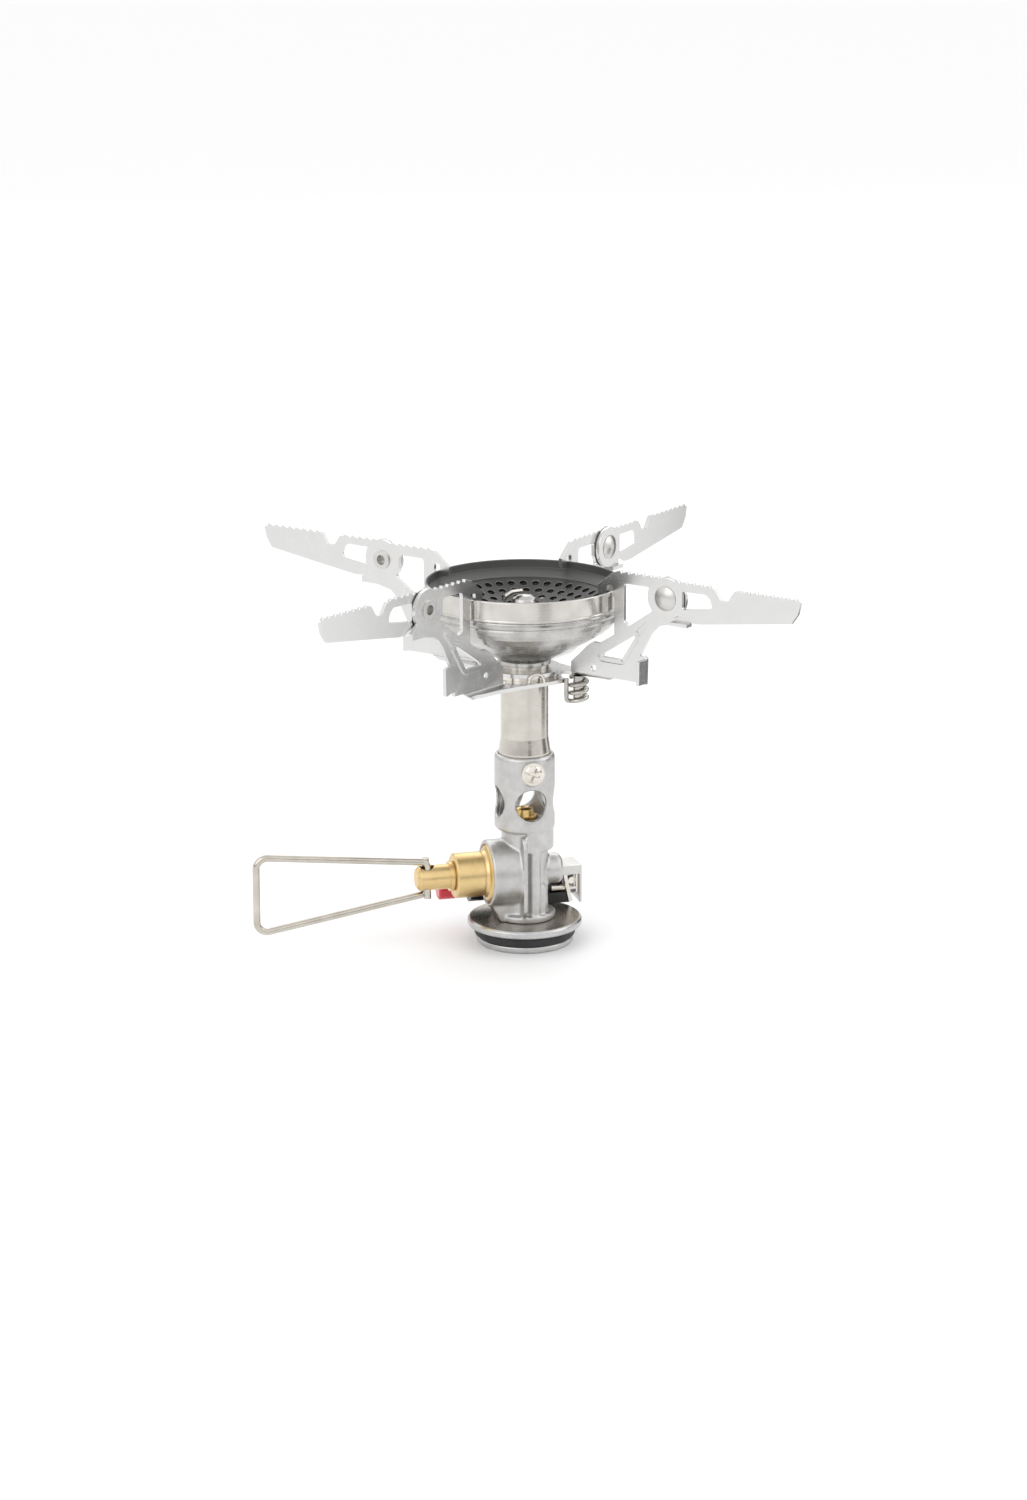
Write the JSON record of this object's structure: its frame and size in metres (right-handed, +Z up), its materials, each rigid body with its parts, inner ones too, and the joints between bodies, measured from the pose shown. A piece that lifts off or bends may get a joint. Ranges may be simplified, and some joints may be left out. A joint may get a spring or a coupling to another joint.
{
  "type": "camping stove",
  "caption": "Canister-top gas stove with a dished burner, folding serrated pot supports, a wire-bail valve and a push-button igniter.",
  "frame": {"origin": "on the burner's axis at the underside of the screw-on base", "axes": "+Z up along the burner's axis; the valve spindle and its wire bail point along -X; the tube screw faces -Y"},
  "size_m": [0.1224, 0.1144, 0.0945],
  "materials": {
    "black_plastic": "moulded",
    "black_rubber": "matt",
    "brass": "turned, bright",
    "cast_aluminium": "fine matt cast surface",
    "ceramic": "glazed ceramic",
    "dark_steel": "heat-darkened",
    "nickel_plate": "nickel plated",
    "polished_steel": "polished, faintly warm",
    "red_plastic": "moulded",
    "satin_steel": "satin",
    "turned_aluminium": "turned, satin",
    "white_sleeve": "heat-proof sleeve"
  },
  "bodies": {
    "root": {"base_flange": "turned_aluminium", "base_ring_seal": "black_rubber", "canister_seal": "black_rubber", "valve_pin": "brass", "inlet_filter": "brass", "valve_body": "cast_aluminium", "gas_jet": "brass", "mixing_tube": "polished_steel", "tube_screw": "nickel_plate", "burner_bowl": "polished_steel", "rim_band": "polished_steel", "flame_plate": "dark_steel", "igniter_cap": "satin_steel", "electrode_insulator": "ceramic", "electrode_rod": "nickel_plate", "spark_finger": "satin_steel", "lower_yoke": "satin_steel", "yoke_washer": "dark_steel", "wire_eye": "nickel_plate", "valve_gland": "brass", "valve_pusher": "brass", "regulator_spring": "nickel_plate", "diaphragm": "black_rubber", "piezo_body": "black_plastic", "piezo_spring": "nickel_plate", "igniter_bracket": "nickel_plate", "contact_strip": "nickel_plate", "contact_rod": "brass", "igniter_lead": "white_sleeve", "rivet_front_left": "nickel_plate", "washer_front_left": "dark_steel", "rivet_back_right": "nickel_plate", "washer_back_right": "dark_steel"},
    "upper_support": {"upper_yoke": "satin_steel", "clip_spring": "nickel_plate", "spring_pin": "nickel_plate", "rivet_back_left": "nickel_plate", "rivet_front_right": "nickel_plate", "washer_back_left": "dark_steel", "washer_front_right": "dark_steel"},
    "tip_back_left": {"arm_tip_back_left": "satin_steel"},
    "tip_front_left": {"arm_tip_front_left": "satin_steel"},
    "tip_front_right": {"arm_tip_front_right": "satin_steel"},
    "tip_back_right": {"arm_tip_back_right": "satin_steel"},
    "spindle": {"valve_spindle": "brass", "spindle_oring": "black_rubber"},
    "bail": {"wire_bail": "nickel_plate"},
    "button": {"piezo_button": "red_plastic"}
  },
  "joints": [
    {"name": "support_turn", "type": "hinge", "parent": "root", "child": "upper_support", "pos_m": [0, 0, 0.0676], "axis": [0, 0, 1], "range_deg": [0, 65]},
    {"name": "fold_back_left", "type": "hinge", "parent": "upper_support", "child": "tip_back_left", "pos_m": [-0.0268, 0.02877, 0.0896], "axis": [0.7547, 0.6561, 0], "range_deg": [0, 155]},
    {"name": "fold_front_left", "type": "hinge", "parent": "root", "child": "tip_front_left", "pos_m": [-0.03053, -0.02478, 0.0896], "axis": [-0.6032, 0.7976, 0], "range_deg": [0, 155]},
    {"name": "fold_front_right", "type": "hinge", "parent": "upper_support", "child": "tip_front_right", "pos_m": [0.02599, -0.02951, 0.0896], "axis": [-0.7727, -0.6347, 0], "range_deg": [0, 155]},
    {"name": "fold_back_right", "type": "hinge", "parent": "root", "child": "tip_back_right", "pos_m": [0.02845, 0.02715, 0.0896], "axis": [0.6652, -0.7466, 0], "range_deg": [0, 155]},
    {"name": "spindle_turn", "type": "hinge", "parent": "root", "child": "spindle", "pos_m": [-0.02, 0, 0.0175], "axis": [-1, 0, 0], "range_deg": [0, 1080]},
    {"name": "bail_fold", "type": "hinge", "parent": "spindle", "child": "bail", "pos_m": [-0.0243, 0, 0.0175], "axis": [0, 0, 1], "range_deg": [-90, 90]},
    {"name": "button_press", "type": "slide", "parent": "root", "child": "button", "axis": [1, 0, 0], "range_m": [0, 0.004], "stiffness_N_per_m": 1500, "springref_m": -0.0005, "deforming": ["piezo_spring"]}
  ]
}
